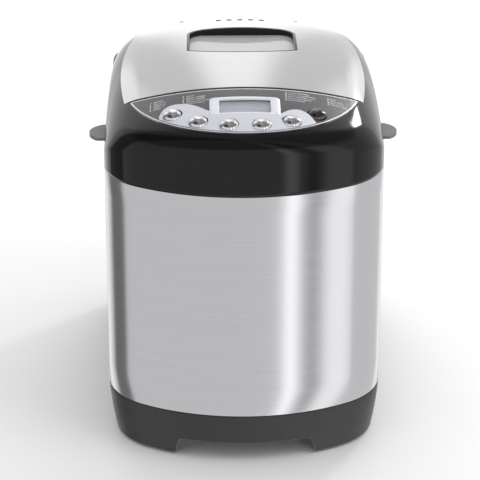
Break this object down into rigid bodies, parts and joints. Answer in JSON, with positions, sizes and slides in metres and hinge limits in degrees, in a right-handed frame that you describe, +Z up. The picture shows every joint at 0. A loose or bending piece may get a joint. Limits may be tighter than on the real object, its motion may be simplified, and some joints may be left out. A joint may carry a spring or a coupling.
{
  "type": "bread machine",
  "caption": "Tall bread machine: crowned clamshell lid with viewing window, lens-shaped control panel, steel wrap on a dark base, and a belt-driven kneader in a lift-out pan.",
  "frame": {"origin": "on the surface the feet stand on, below the middle of the bounding box", "axes": "+Z up, -Y towards the user at the control panel, +X to the user's right"},
  "size_m": [0.258, 0.355, 0.3108],
  "materials": {
    "satin_black": "satin",
    "gloss_black": "gloss",
    "brushed_steel": "brushed",
    "grip_grey": "satin",
    "panel_grey": "gloss",
    "silver_trim": "pearl",
    "chrome_key": "polished",
    "dark_key": "gloss",
    "display_rim": "satin",
    "display_glass": "clear",
    "display_face": "satin",
    "circuit_board": "satin",
    "component_black": "matte",
    "chamber_steel": "satin",
    "non_stick": "matte",
    "zinc": "satin",
    "element_sheath": "matte",
    "ceramic": "matte",
    "window_pane": "clear",
    "foot_rubber": "matte",
    "seal_silicone": "matte",
    "bearing_bronze": "satin",
    "copper_winding": "lacquered",
    "lamination": "satin",
    "cast_alloy": "cast",
    "pulley_nylon": "satin",
    "belt_rubber": "matte",
    "film_capacitor": "satin",
    "coil_tape": "satin"
  },
  "bodies": {
    "housing": {"base_tub": "satin_black", "rubber_feet": "foot_rubber", "steel_wrap": "brushed_steel", "rear_panel": "satin_black", "cable_gland": "satin_black", "upper_housing": "gloss_black", "hinge_pins": "zinc", "control_bezel": "silver_trim", "control_fascia": "panel_grey", "keypad_trim": "silver_trim", "lcd_frame": "display_rim", "lcd_window": "display_glass", "lcd_module": "display_face", "display_board": "circuit_board", "switch_set": "component_black", "chamber_liner": "chamber_steel", "chamber_spacers": "zinc", "temperature_probe": "zinc", "heating_element": "element_sheath", "element_bushes": "ceramic", "chassis_plate": "zinc", "frame_screws": "zinc", "pan_seat": "cast_alloy", "shaft_bushes": "bearing_bronze", "motor_stator": "lamination", "motor_coils": "copper_winding", "motor_frame": "cast_alloy", "motor_screws": "zinc", "drive_belt": "belt_rubber", "power_board": "circuit_board", "run_capacitor": "film_capacitor", "transformer": "coil_tape"},
    "lid": {"lid_shell": "gloss_black", "lid_skin": "brushed_steel", "window_bezel": "gloss_black", "window_glass": "window_pane", "lid_liner": "chamber_steel", "lid_frame": "grip_grey", "lid_seal": "seal_silicone", "vent_insert": "satin_black", "lid_screws": "zinc"},
    "pan": {"bread_pan": "non_stick", "pan_foot": "cast_alloy", "pan_bearing": "bearing_bronze"},
    "handle": {"pan_handle": "zinc"},
    "kneader": {"pan_shaft": "zinc", "kneading_paddle": "non_stick", "upper_coupling": "cast_alloy"},
    "drive": {"drive_shaft": "zinc", "large_pulley": "pulley_nylon", "lower_coupling": "cast_alloy"},
    "motor": {"motor_rotor": "lamination", "motor_fan": "component_black", "small_pulley": "cast_alloy"},
    "far_left_key": {"button_far_left": "chrome_key"},
    "left_key": {"button_left": "chrome_key"},
    "mid_left_key": {"button_mid_left": "chrome_key"},
    "mid_right_key": {"button_mid_right": "chrome_key"},
    "right_key": {"button_right": "chrome_key"},
    "start_key": {"button_start": "dark_key"}
  },
  "joints": [
    {"name": "lid_hinge", "type": "hinge", "parent": "housing", "child": "lid", "pos_m": [0, 0.16, 0.271], "axis": [-1, 0, 0], "range_deg": [0, 80]},
    {"name": "pan_lift", "type": "slide", "parent": "housing", "child": "pan", "axis": [0, 0, 1], "range_m": [0, 0.01]},
    {"name": "handle_swing", "type": "hinge", "parent": "pan", "child": "handle", "pos_m": [0, 0.04, 0.231], "axis": [1, 0, 0], "range_deg": [0, 24]},
    {"name": "motor_spin", "type": "hinge", "parent": "housing", "child": "motor", "pos_m": [0, -0.118, 0.098], "axis": [0, 0, 1], "continuous": true},
    {"name": "drive_spin", "type": "hinge", "parent": "housing", "child": "drive", "pos_m": [0, 0.04, 0.06], "axis": [0, 0, 1], "continuous": true},
    {"name": "kneader_spin", "type": "hinge", "parent": "pan", "child": "kneader", "pos_m": [0, 0.04, 0.115], "axis": [0, 0, 1], "continuous": true},
    {"name": "far_left_press", "type": "slide", "parent": "housing", "child": "far_left_key", "axis": [0, 0.2308, -0.973], "range_m": [0, 0.0015], "stiffness_N_per_m": 500, "springref_m": -0.001},
    {"name": "left_press", "type": "slide", "parent": "housing", "child": "left_key", "axis": [0, 0.2308, -0.973], "range_m": [0, 0.0015], "stiffness_N_per_m": 500, "springref_m": -0.001},
    {"name": "mid_left_press", "type": "slide", "parent": "housing", "child": "mid_left_key", "axis": [0, 0.2308, -0.973], "range_m": [0, 0.0015], "stiffness_N_per_m": 500, "springref_m": -0.001},
    {"name": "mid_right_press", "type": "slide", "parent": "housing", "child": "mid_right_key", "axis": [0, 0.2308, -0.973], "range_m": [0, 0.0015], "stiffness_N_per_m": 500, "springref_m": -0.001},
    {"name": "right_press", "type": "slide", "parent": "housing", "child": "right_key", "axis": [0, 0.2308, -0.973], "range_m": [0, 0.0015], "stiffness_N_per_m": 500, "springref_m": -0.001},
    {"name": "start_press", "type": "slide", "parent": "housing", "child": "start_key", "axis": [0, 0.2308, -0.973], "range_m": [0, 0.0015], "stiffness_N_per_m": 500, "springref_m": -0.001}
  ],
  "couplings": [
    {"joint": "drive_spin", "follows": "motor_spin", "ratio": 0.1619},
    {"joint": "kneader_spin", "follows": "motor_spin", "ratio": 0.1619}
  ]
}
